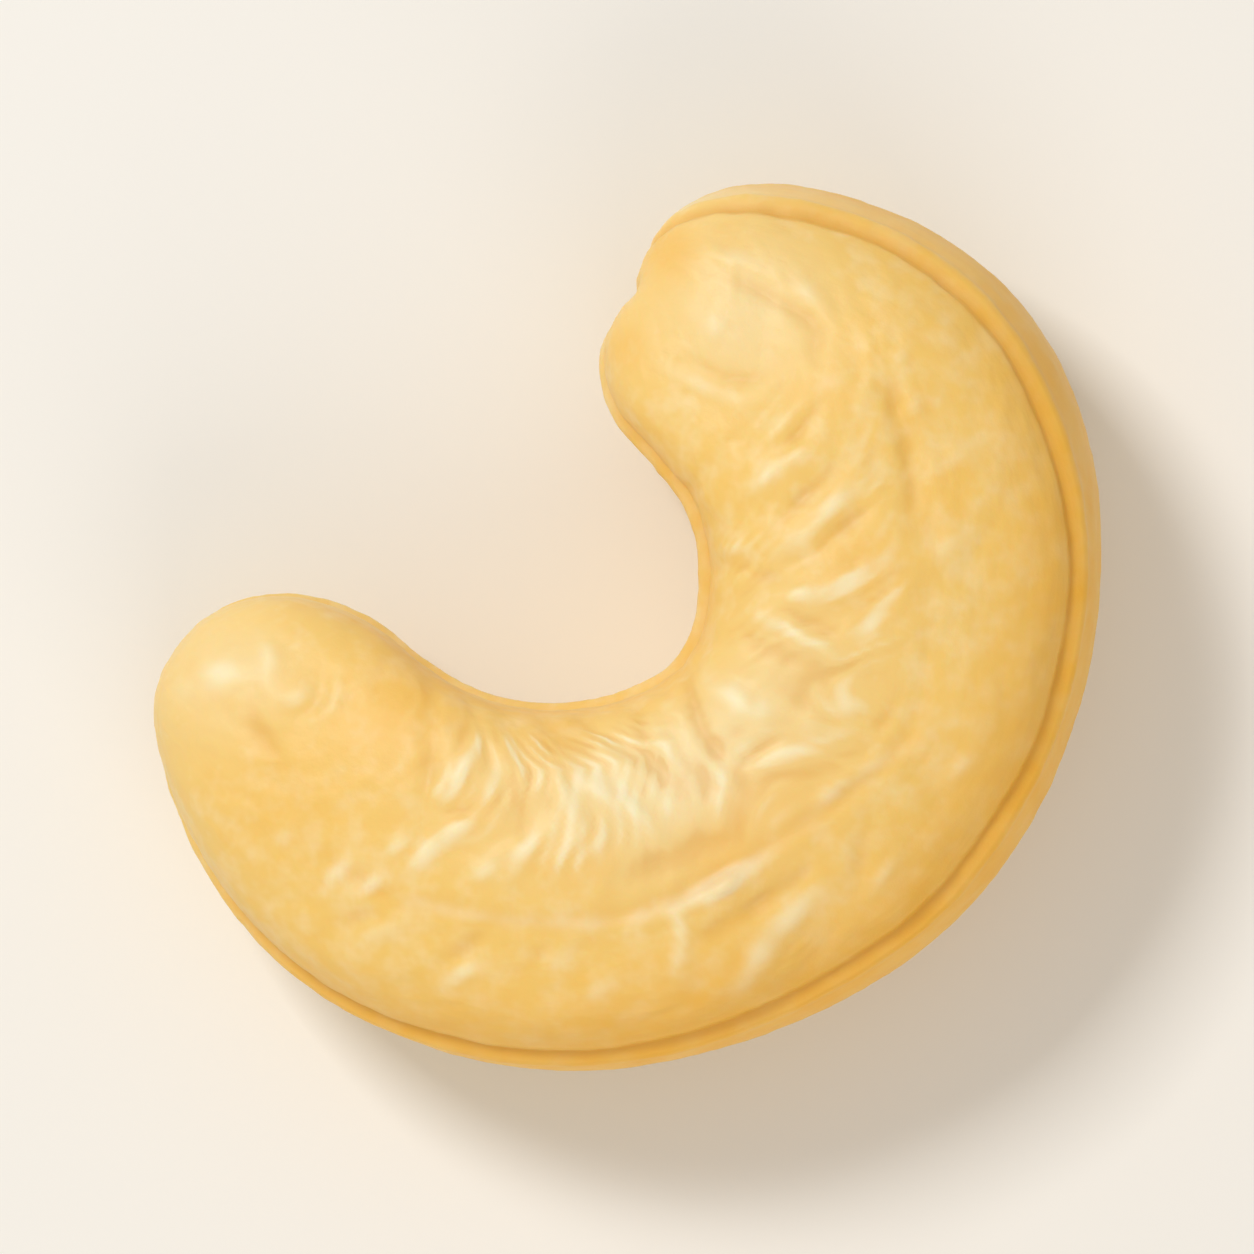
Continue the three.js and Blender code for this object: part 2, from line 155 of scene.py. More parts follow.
# Raised strokes, and sunk ones with a height below 0, on the upper side. Seen from above, each
# runs from x, y to x, y and bends to its left by the fifth value: x, y, x, y, bend, height,
# half width. Their height falls off towards their ends.
STROKE_TAPER = 0.45
STROKES = (
    # Round the knoll of the notched tip
    (2.4, 9.8, 3.6, 9.5, 0.05, 0.06, 0.3), (2.7, 9.25, 4.8, 8.05, 0.05, -0.06, 0.26),
    (4.5, 9.1, 4.95, 8.5, 0, 0.07, 0.28), (2.0, 8.1, 2.5, 7.7, 0, 0.06, 0.4),
    (6.75, 6.9, 7.5, 2.6, 0.1, -0.09, 0.29),
    (4.8, 8.05, 4.9, 7.2, 0.1, -0.08, 0.26), (1.7, 7.1, 4.0, 7.0, -0.5, -0.05, 0.25),
    (1.0, 6.85, 2.9, 6.0, -0.05, 0.07, 0.26), (3.85, 5.15, 4.4, 5.65, 0, 0.09, 0.24),
    (4.1, 4.75, 4.75, 5.6, 0, -0.1, 0.24),
    # The fan across the upper arm
    (3.4, 3.75, 4.8, 4.7, 0.1, 0.09, 0.27), (4.2, 3.0, 5.3, 4.1, 0, -0.09, 0.24),
    (4.0, 2.0, 5.8, 3.65, -0.1, 0.07, 0.28), (5.25, 2.35, 5.95, 2.9, 0, -0.12, 0.24),
    (5.4, 3.2, 6.1, 4.0, 0, 0.06, 0.26), (6.9, 6.8, 7.25, 7.3, 0, 0.06, 0.24),
    (7.2, 5.4, 7.6, 6.0, 0, 0.06, 0.24), (8.1, 1.95, 8.75, 2.45, 0, 0.06, 0.24),
    (2.7, 2.05, 3.35, 2.15, 0, 0.1, 0.26), (5.4, 0.95, 6.05, 1.3, 0, 0.12, 0.24),
    (4.1, 0.75, 4.9, 0.95, 0, 0.1, 0.24), (3.5, 0.3, 5.3, -0.7, 0.05, 0.09, 0.26),
    (4.1, 0.45, 5.4, -0.2, 0, -0.1, 0.24), (3.0, -0.2, 4.7, -0.9, -0.1, -0.09, 0.26),
    (6.2, -0.1, 7.2, 1.1, 0.05, 0.09, 0.24), (8.2, 4.2, 9.0, 4.75, 0, 0.05, 0.26),
    (3.0, 1.5, 4.0, 1.25, 0, -0.06, 0.26),
    # The middle of the bend
    (2.2, -1.4, 3.9, -2.9, 0.1, 0.1, 0.36), (1.5, -1.2, 2.9, -4.0, -0.25, -0.12, 0.24),
    (1.2, -2.6, 2.9, -5.0, -0.1, -0.1, 0.24), (0.3, -2.4, 1.2, -4.3, -0.1, -0.09, 0.24),
    (1.2, -2.4, 2.0, -3.7, -0.1, 0.09, 0.24), (0.6, -2.6, 1.5, -4.4, -0.1, 0.06, 0.24),
    (3.15, -3.35, 4.0, -2.95, 0, -0.14, 0.24), (3.4, -3.75, 4.6, -3.4, 0, 0.06, 0.26),
    (4.4, -2.6, 6.0, -2.1, 0.1, 0.06, 0.27), (6.2, -3.1, 7.1, -1.9, 0, -0.06, 0.27),
    (2.2, -4.1, 3.0, -5.2, 0, 0.06, 0.24), (4.6, -1.4, 6.2, -1.2, 0.1, -0.06, 0.26),
    # The crease's lower bank, and the folds outside it
    (0.5, -6.35, 2.5, -5.5, 0, -0.12, 0.38), (0.3, -7.65, 4.0, -5.75, -0.15, 0.06, 0.26),
    (1.9, -7.1, 3.0, -6.45, 0, 0.2, 0.26), (1.2, -7.5, 1.2, -9.0, 0.2, 0.09, 0.24),
    (2.2, -8.0, 4.5, -6.5, -0.1, -0.12, 0.28), (3.2, -9.1, 4.9, -7.05, 0.2, 0.1, 0.36),
    (6.0, -6.9, 6.3, -5.2, 0.1, -0.06, 0.26), (6.4, -6.9, 6.85, -6.2, 0, 0.06, 0.24),
    (4.7, -5.05, 7.6, -3.2, 0.3, 0.06, 0.25), (8.5, -3.9, 9.05, -3.4, 0, 0.06, 0.26),
    (-6.0, -7.15, 0.3, -7.65, -0.35, 0.06, 0.26),
    # Between the bend and the plain tip
    (-5.55, -6.2, -4.1, -5.15, 0.15, 0.15, 0.24), (-4.05, -6.55, -3.55, -6.15, 0, 0.1, 0.24),
    (-3.2, -6.5, -2.2, -5.4, 0.05, 0.12, 0.26), (-2.0, -6.25, -1.3, -5.45, 0, 0.1, 0.24),
    (-1.0, -6.1, -0.6, -5.3, 0, 0.06, 0.24), (-6.35, -6.0, -5.85, -5.55, 0, 0.09, 0.24),
    (-4.6, -4.25, -4.1, -3.25, 0, 0.12, 0.24), (-5.15, -4.55, -4.85, -4.1, 0, 0.09, 0.24),
    (-4.85, -4.8, -4.2, -4.85, 0, -0.06, 0.24), (-5.3, -4.3, -5.2, -3.3, 0, -0.06, 0.24),
    (-3.15, -3.4, -2.65, -4.1, 0, 0.06, 0.24), (-1.95, -3.9, -1.45, -4.9, 0, 0.09, 0.24),
    (-1.4, -3.4, -0.3, -4.1, -0.05, 0.06, 0.24), (-1.0, -3.0, 0.2, -3.85, -0.05, 0.06, 0.24),
    (-1.4, -3.85, -0.5, -4.5, -0.05, 0.06, 0.24), (-0.1, -4.6, 0.8, -5.6, 0, 0.06, 0.24),
    (-8.0, -6.9, -7.3, -6.15, 0.05, 0.09, 0.26), (-7.05, -7.05, -6.5, -6.55, 0, 0.1, 0.24),
    (-7.1, -8.35, -6.0, -7.8, 0.05, 0.06, 0.26), (-8.0, -8.0, -6.5, -7.3, 0, -0.06, 0.27),
    (-9.4, -5.85, -8.95, -5.3, 0, 0.05, 0.24), (-4.8, -9.4, -4.0, -8.9, 0.05, 0.09, 0.27),
    (-4.7, -8.7, -4.0, -8.15, 0, -0.09, 0.28), (-1.1, -9.9, -0.6, -9.4, 0, 0.06, 0.26),
    (-3.0, -9.3, -2.3, -8.5, 0, -0.06, 0.27), (-1.9, -8.9, -1.4, -8.1, 0, 0.05, 0.27),
    # The swirl of the plain tip
    (-11.4, -1.6, -10.2, -1.2, 0.1, 0.1, 0.42), (-9.75, -0.4, -9.5, -1.3, 0.1, 0.06, 0.29),
    (-9.2, -2.0, -8.4, -1.6, -0.1, 0.06, 0.34), (-7.75, -1.2, -8.6, -2.55, 0.3, 0.05, 0.26),
    (-8.05, -1.3, -8.75, -2.3, 0.25, -0.06, 0.24), (-9.95, -2.2, -9.4, -3.5, 0, -0.08, 0.34),
)

# Paler patches of the upper side, partly paler flesh and partly painted highlight: x, y, radius, how
# pale.
PALE_AND_HIGHLIGHT_PATCHES = ((3.1, 8.3, 2.3, 0.33), (-10.4, -1.3, 1.7, 0.25), (1.6, -4.6, 1.5, 0.15))
# Deeper golden patches of the upper side, partly deeper flesh and partly painted shade: x, y, radius,
# how deep.
GOLDEN_AND_SHADE_PATCHES = (
    (1.0, 10.0, 0.8, 0.5), (-0.2, 7.4, 0.7, 0.3), (-5.9, -2.1, 1.6, 0.4), (-9.0, -4.4, 1.9, 0.2),
    (-2.0, -2.8, 1.0, 0.25), (2.4, -6.0, 1.1, 0.35), (4.3, -4.7, 1.5, 0.25), (6.1, 1.5, 1.2, 0.3),
    (10.6, 6.3, 0.8, 0.3), (7.0, -8.6, 1.0, 0.25),
)

# How far one goes over the skin for a radian round a section, about.
GIRTH_RADIUS = 5.0
# The height at which a stroke has its full colour: a painted highlight on paler flesh if raised, painted
# shade if sunk.
FULL_STROKE = 0.08
# Fine wrinkles slant over the upper arm, and in the lower arm they turn back this far over the
# skin from the concave edge.
WRINKLE_SLANT = 0.8
WRINKLE_TURN = 5.5
# How far slow noise pushes the wrinkles and the fine ridges along the kernel.
WRINKLE_PUSH = 2.6
RIDGE_PUSH = 3.0
# How quickly the noise of each relief changes along and across the kernel, for a millimetre.
WRINKLE_SPREAD = 0.55
FOLD_FINENESS = (0.62, 0.22)
STREAK_FINENESS = (1.7, 0.7)

ROWS = 332
COLUMNS = 290
# The share of the columns on the upper side, and how much they crowd at the lines.
UPPER_SHARE = 0.6
CROWDING = 0.25

# The stage: the softboxes' places and widths in metres, and the camera's lens in millimetres.
KEY_PLACE = (-0.145, 0.146, 0.265)
KEY_WIDTH = 0.09
KEY_COLOUR = (1, 0.98, 0.95)
FILL_PLACE = (0.07, -0.215, 0.16)
FILL_WIDTH = 0.2
FILL_COLOUR = (1, 0.9, 0.76)
ROOM_COLOUR = (1, 0.965, 0.91, 1)
ROOM_STRENGTH = 0.48
LENS = 600
SENSOR_WIDTH = 36


# Curves through the driving points

def closed_spline(values):
    """A closed, evenly spaced cubic B-spline through the rows of values, by turn from 0 to 1."""
    values = np.asarray(values, dtype=float)
    count = len(values)
    controls = values.copy()
    for _ in range(40):
        on_curve = (np.roll(controls, 1, 0) + 4 * controls + np.roll(controls, -1, 0)) / 6
        controls = controls + values - on_curve

    def curve(turn):
        place = np.asarray(turn) * count
        first = np.floor(place).astype(int)
        t = place - first
        weights = (
            (1 - t) ** 3 / 6,
            (3 * t ** 3 - 6 * t ** 2 + 4) / 6,
            (-3 * t ** 3 + 3 * t ** 2 + 3 * t + 1) / 6,
            t ** 3 / 6,
        )
        return sum(w[..., None] * controls[(first - 1 + k) % count] for k, w in enumerate(weights))

    return curve


def along_kernel(first, rows, last, mirror):
    """A value by the angle from the notched tip to the plain tip, mirrored beyond the tips."""
    values = [first, *rows, last, *(mirror * value for value in rows[::-1])]
    curve = closed_spline(np.reshape(values, (-1, 1)))
    return lambda along: curve(along / (2 * math.pi))[..., 0]


def blended(line, column, along):
    """A smooth blend of the points of a crease's line, weighted by how near they are."""
    points = np.array(line, dtype=float)
    distance = (along[..., None] - np.radians(points[:, 0])) / math.radians(CREASE_BLEND)
    weights = np.exp(-distance ** 2)
    return (weights * points[:, column]).sum(-1) / weights.sum(-1)


outline = closed_spline(
    [NOTCHED_TIP[:2], *SECTIONS[:, 0:2], PLAIN_TIP[:2], *SECTIONS[::-1, 2:4]]
)
half_thickness = along_kernel(0, SECTIONS[:, 4] / 2, 0, -1)
middle = along_kernel(NOTCHED_TIP[2], SECTIONS[:, 5], PLAIN_TIP[2], 1)
seam_degrees = along_kernel(NOTCHED_TIP[3], SECTIONS[:, 6], PLAIN_TIP[3], 1)
hem_degrees = along_kernel(NOTCHED_TIP[4], SECTIONS[:, 7], PLAIN_TIP[4], 1)


# The smooth body

def bump(distance, half_width):
    return np.exp(-((distance / half_width) ** 2))


def smoothstep(value, low, high):
    t = np.clip((value - low) / (high - low), 0, 1)
    return t * t * (3 - 2 * t)


def fading_in(angle, low, high):
    """0 below the angle low and 1 above high, both in degrees."""
    return smoothstep(angle, math.radians(low), math.radians(high))


def angle_bump(angle, middle_degrees, half_width):
    """A bump of an angle round middle_degrees, with its half width in degrees too."""
    return bump(angle - math.radians(middle_degrees), math.radians(half_width))


def turn_between(a, b):
    """The angle from b to a, within half a turn either way."""
    return np.arctan2(np.sin(a - b), np.cos(a - b))


def body_points(along, around):
    """Points of the smooth kernel. around: 0 is the convex edge and a quarter turn is the top."""
    turn = along / (2 * math.pi)
    outer = outline(turn)
    inner = outline(1 - turn)
    square = SECTION_SQUARENESS
    across = (np.cos(around) - square * np.cos(3 * around)) / (1 - square)
    across = across - CROWN_TOWARDS_INNER * np.sin(around) ** 2
    up = (np.sin(around) + square * np.sin(3 * around)) / (1 - square)
    plan = inner + (outer - inner) * ((1 + across) / 2)[..., None]
    height = middle(along) + up * half_thickness(along)
    return np.concatenate([plan, height[..., None]], axis=-1)


def body_frame(along, around):
    """How far a radian of each angle goes over the skin, and the outward normal."""
    step = 1e-3
    lengthwise = (body_points(along + step, around) - body_points(along - step, around)) / (2 * step)
    crosswise = (body_points(along, around + step) - body_points(along, around - step)) / (2 * step)
    normal = np.cross(crosswise, lengthwise)
    normal /= np.linalg.norm(normal, axis=-1, keepdims=True)
    return np.linalg.norm(lengthwise, axis=-1), np.linalg.norm(crosswise, axis=-1), normal


def lines_at(along):
    """The seam, the upper crease, the hem and the lower crease, as angles round each section."""
    return (
        np.radians(seam_degrees(along)),
        np.radians(blended(UPPER_CREASE, 1, along)),
        math.pi - np.radians(hem_degrees(along)),
        np.radians(blended(LOWER_CREASE, 1, along)),
    )


def around_at(share, lines):
    """The angle of a place in a row: one stretch for each line, with the places crowded there."""
    starts = np.array([0, UPPER_SHARE / 2, UPPER_SHARE, (1 + UPPER_SHARE) / 2, 1])
    quarter = np.clip(np.searchsorted(starts, share, side="right") - 1, 0, 3)
    within = (share - starts[quarter]) / (starts[quarter + 1] - starts[quarter])
    eased = within - CROWDING * np.sin(2 * math.pi * within) / (2 * math.pi)
    ends = np.stack([*lines, lines[0] + 2 * math.pi])
    low = np.take_along_axis(ends, quarter[None], 0)[0]
    high = np.take_along_axis(ends, quarter[None] + 1, 0)[0]
    return low + (high - low) * eased


# Relief, as heights above the smooth body

def seam_relief(along, around, lines, crosswise):
    from_seam = turn_between(around, lines[0])
    from_hem = turn_between(lines[2], around)
    at_seam = np.abs(from_seam) < np.abs(from_hem)
    above = np.where(at_seam, from_seam, from_hem) * crosswise
    depth = np.where(at_seam, SEAM_DEPTH, HEM_DEPTH)
    groove = bump(above, SEAM_HALF_WIDTH)
    lip = SEAM_LIP * bump(above + SEAM_LIP_BELOW, 0.6 * SEAM_LIP_BELOW)
    inset = SEAM_STEP * smoothstep(above, -SEAM_HALF_WIDTH, SEAM_HALF_WIDTH)
    inset = inset * bump(above, SEAM_STEP_REACH)
    fade = smoothstep(np.sin(along), 0.1, 0.6)
    return (lip - inset) * fade - depth * groove, np.where(at_seam, groove, 0.2 * groove)


def pit_relief(along, around, lengthwise, crosswise):
    from_pit = along * lengthwise
    pit = bump(from_pit, PIT_RADIUS)
    relief = -PIT_DEPTH * pit
    for degrees, reach, depth in PIT_CREASES:
        aside = turn_between(around, math.radians(degrees)) * crosswise
        crease = bump(aside, 0.25 + 0.1 * from_pit) * bump(from_pit, reach)
        relief = relief - depth * crease * (1 - pit)
    return relief


def crease_relief(along, around, lines, crosswise):
    upper = np.sin(around) >= 0
    strength = np.where(upper, blended(UPPER_CREASE, 2, along), blended(LOWER_CREASE, 2, along))
    inwards = turn_between(around, np.where(upper, lines[1], lines[3])) * np.where(upper, 1, -1)
    outwards = -inwards * crosswise
    valley = bump(outwards, CREASE_HALF_WIDTH)
    bank = CREASE_BANK * bump(outwards - CREASE_BANK_ASIDE, 0.6 * CREASE_BANK_ASIDE)
    return strength * (bank - CREASE_DEPTH * valley), strength * valley


def seeded_draws(seed):
    """A repeatable stream of numbers between 0 and 1."""
    state = seed
    while True:
        state = (state * 16807) % 2147483647
        yield state / 2147483647


def fold_relief(along, around, lengthwise):
    draw = seeded_draws(FOLD_SEED)
    from_convex = np.abs(turn_between(around, 0))
    relief = np.zeros_like(along)
    for side in (1, -1):
        on_side = np.where(np.sin(around) >= 0, 1, -1) == side
        for i in range(FOLD_COUNT):
            share = (i + 0.5 + 0.5 * (next(draw) - 0.5)) / FOLD_COUNT
            place = math.radians(FOLD_FROM + share * (FOLD_TO - FOLD_FROM))
            depth = FOLD_DEPTH * (0.5 + 0.5 * next(draw))
            bend = math.radians(FOLD_BEND * (2 * next(draw) - 1))
            start = math.radians(154 - 12 * next(draw))
            end = math.radians(104 - 14 * next(draw))
            run = (start - from_convex) / (start - end)
            aside = (along - place - bend * run * run) * lengthwise
            within = smoothstep(from_convex, end - 0.25, end + 0.1)
            within = within * (1 - smoothstep(from_convex, start - 0.1, start + 0.2))
            relief -= on_side * within * depth * bump(aside, FOLD_HALF_WIDTH)
    return relief


def ripple_relief(along, around):
    from_convex = np.abs(turn_between(around, 0))
    within = fading_in(from_convex, 28, 45) * (1 - fading_in(from_convex, 62, 80))
    slow = np.sin(3 * along + 1) + np.sin(around)
    phase = 2 * RIPPLE_COUNT * along + RIPPLE_SKEW * (4 * around + 2 * slow)
    return RIPPLE_DEPTH * within * np.sin(phase) * smoothstep(np.sin(along), 0.3, 0.6)


def knoll_relief(points, around):
    side_of = np.where(np.sin(around) >= 0, 1, -1)
    relief = np.zeros_like(around)
    for x, y, side, radius, height, furrow in KNOLLS:
        distance = np.hypot(points[..., 0] - x, points[..., 1] - y)
        ring = bump(distance - radius, 0.3 * radius)
        relief += (side_of == side) * (height * bump(distance, 0.6 * radius) - furrow * ring)
    return relief * smoothstep(np.abs(np.sin(around)), 0.5, 0.8)


def patch_shares(patches, points, around):
    """How much of a patch's colour each point of the upper side has."""
    x, y = points[..., 0], points[..., 1]
    shares = np.zeros_like(around)
    for patch_x, patch_y, radius, share in patches:
        shares += share * bump(np.hypot(x - patch_x, y - patch_y), radius)
    return shares * smoothstep(np.sin(around), 0.1, 0.5)


def stroke_relief(points, around):
    x, y = points[..., 0], points[..., 1]
    relief = np.zeros_like(around)
    for x0, y0, x1, y1, bend, height, half_width in STROKES:
        length = math.hypot(x1 - x0, y1 - y0)
        ahead = ((x - x0) * (x1 - x0) + (y - y0) * (y1 - y0)) / length
        aside = ((y - y0) * (x1 - x0) - (x - x0) * (y1 - y0)) / length
        share = np.clip(ahead / length, 0, 1)
        beyond = ahead - share * length
        aside = aside - 4 * bend * share * (1 - share)
        taper = 1 - STROKE_TAPER * (2 * share - 1) ** 2
        relief += height * taper * bump(np.hypot(aside, 0.6 * beyond), half_width)
    broken = 1 + 0.3 * np.sin(4.1 * x + 1.7 * y) * np.sin(3.3 * y - 1.9 * x + 1)
    return relief * broken * smoothstep(np.sin(around), 0.1, 0.4)


def swelling_relief(points):
    x, y, z = np.moveaxis(points, -1, 0)
    wave = np.sin(0.63 * x + 0.35 * y + 0.6) * np.cos(0.54 * y - 0.46 * z)
    wave += 0.6 * np.sin(1.06 * y + 0.6 * z + 2.1) * np.cos(0.93 * x + 1.3)
    return SWELLINGS * wave


def fold_zone(along, around):
    """Where the fine wrinkles are: the inner half of each broad side, away from the tips."""
    from_convex = np.abs(turn_between(around, 0))
    inner_half = fading_in(from_convex, 72, 92) * (1 - fading_in(from_convex, 124, 142))
    between_tips = fading_in(along, 46, 62) * (1 - fading_in(along, 120, 136))
    return inner_half * between_tips * (0.6 + 0.4 * fading_in(along, 72, 92))


def outer_zone(along, around):
    """Where the broad low folds are: the outer half, apart from the rim along the seam."""
    rim = smoothstep(np.cos(around), 0.7, 0.9) * (1 - 0.8 * smoothstep(-np.sin(around), 0.0, 0.3))
    off_tips = smoothstep(np.sin(along), 0.05, 0.6)
    return smoothstep(np.cos(around), -0.1, 0.35) * (1 - rim) * off_tips


def edge_toast_and_shade(along, around):
    """How much deeper roast and painted shade the edge has: most on the convex side, and a little beside
    the hem; less near the notched tip's lip and near the plain tip, where the light falls.
    """
    from_rim = GIRTH_RADIUS * (math.pi - np.abs(turn_between(around, 0)))
    off_tips = smoothstep(np.sin(along), 0.05, 0.6)
    off_underside = 0.3 + 0.7 * smoothstep(np.sin(around), -0.6, 0.0)
    edge = (np.cos(around) - 0.4) * off_underside * off_tips + 0.4
    edge += 0.15 * angle_bump(along, 88, 45) - 0.25 * angle_bump(along, 25, 28)
    edge -= 0.5 * angle_bump(along, 157, 28)
    return np.maximum(edge, 0.65 * bump(from_rim - 2.2, 1.6) * off_tips)


def pale_and_highlight_share(points, along, around):
    """The pale patches, partly painted highlight, a painted highlight in the middle of the bend, the
    paler tips, and a painted highlight on the top of the seam's lip.
    """
    from_rim = GIRTH_RADIUS * (math.pi - np.abs(turn_between(around, 0)))
    bend_middle_highlight = 0.5 * bump(from_rim - 6.2, 2.1) * angle_bump(along, 98, 25)
    near_tips = 1 - smoothstep(np.sin(along), 0.2, 0.8)
    lip_top_highlight = smoothstep(np.cos(around), 0.8, 0.92) * smoothstep(np.sin(around), 0.0, 0.3)
    lip_top_highlight = lip_top_highlight * angle_bump(along, 28, 26)
    patches = patch_shares(PALE_AND_HIGHLIGHT_PATCHES, points, around)
    return np.clip(patches + bend_middle_highlight + 0.1 * near_tips + 0.35 * lip_top_highlight, 0, 1)


def skin(along, share):
    """Points of the skin in millimetres, and the values that its wrinkles and colours follow."""
    lines = lines_at(along)
    around = around_at(share, lines)
    lengthwise, crosswise, normal = body_frame(along, around)
    points = body_points(along, around)
    seam, seam_groove = seam_relief(along, around, lines, crosswise)
    crease, crease_groove = crease_relief(along, around, lines, crosswise)
    pit = pit_relief(along, around, lengthwise, crosswise)
    away_from_tips = smoothstep(np.sin(along), 0, 0.5)
    relief = seam + pit + crease + fold_relief(along, around, lengthwise)
    relief += ripple_relief(along, around) + knoll_relief(points, around)
    strokes = stroke_relief(points, around)
    relief += strokes
    relief += swelling_relief(points) * np.sin(around) ** 2 * away_from_tips
    points = points + relief[..., None] * normal
    points[..., 2] = np.maximum(points[..., 2], 0)

    plain_tip_seam = angle_bump(along, 152, 16)
    # The groove mask, for painted shade in the seam, the hem and the creases.
    groove = seam_groove * away_from_tips * (1 - 0.6 * plain_tip_seam) + 0.45 * crease_groove
    values = {
        "fold_zone": fold_zone(along, around),
        "outer_zone": outer_zone(along, around),
        "streak_zone": smoothstep(-np.abs(np.cos(around)), -0.88, -0.6) * away_from_tips,
        "stroke": strokes / FULL_STROKE,
        "groove": np.clip(groove - 1.2 * pit, 0, 1),
        "edge": edge_toast_and_shade(along, around),
        "paleness_and_highlight": pale_and_highlight_share(points, along, around),
        "golden_and_shade": patch_shares(GOLDEN_AND_SHADE_PATCHES, points, around),
    }
    return points, around, values


# Node trees

def add_node(tree, kind, inputs=None, **settings):
    """Adds a node. inputs maps a socket's name or number to a value or to a socket to link."""
    made = tree.nodes.new(kind)
    for name, value in settings.items():
        setattr(made, name, value)
    for key, value in (inputs or {}).items():
        if isinstance(value, bpy.types.NodeSocket):
            tree.links.new(value, made.inputs[key])
        else:
            made.inputs[key].default_value = value
    return made


def calculate(tree, operation, *terms):
    """A Math node's result."""
    return add_node(tree, "ShaderNodeMath", dict(enumerate(terms)), operation=operation).outputs[0]


def vector_calculate(tree, operation, *terms):
    made = add_node(tree, "ShaderNodeVectorMath", dict(enumerate(terms)), operation=operation)
    return made.outputs["Vector"]


def ranged(tree, value, low, high, to_low=0.0, to_high=1.0):
    """value taken smoothly from the range low..high to the range to_low..to_high."""
    inputs = {"Value": value, "From Min": low, "From Max": high, "To Min": to_low, "To Max": to_high}
    made = add_node(tree, "ShaderNodeMapRange", inputs, interpolation_type="SMOOTHSTEP")
    return made.outputs["Result"]


def add_sockets(tree, direction, sockets):
    for name, kind in sockets:
        tree.interface.new_socket(name=name, in_out=direction, socket_type=kind)


# The skin's relief tree

RELIEF_TREE = "Kernel Skin Relief"


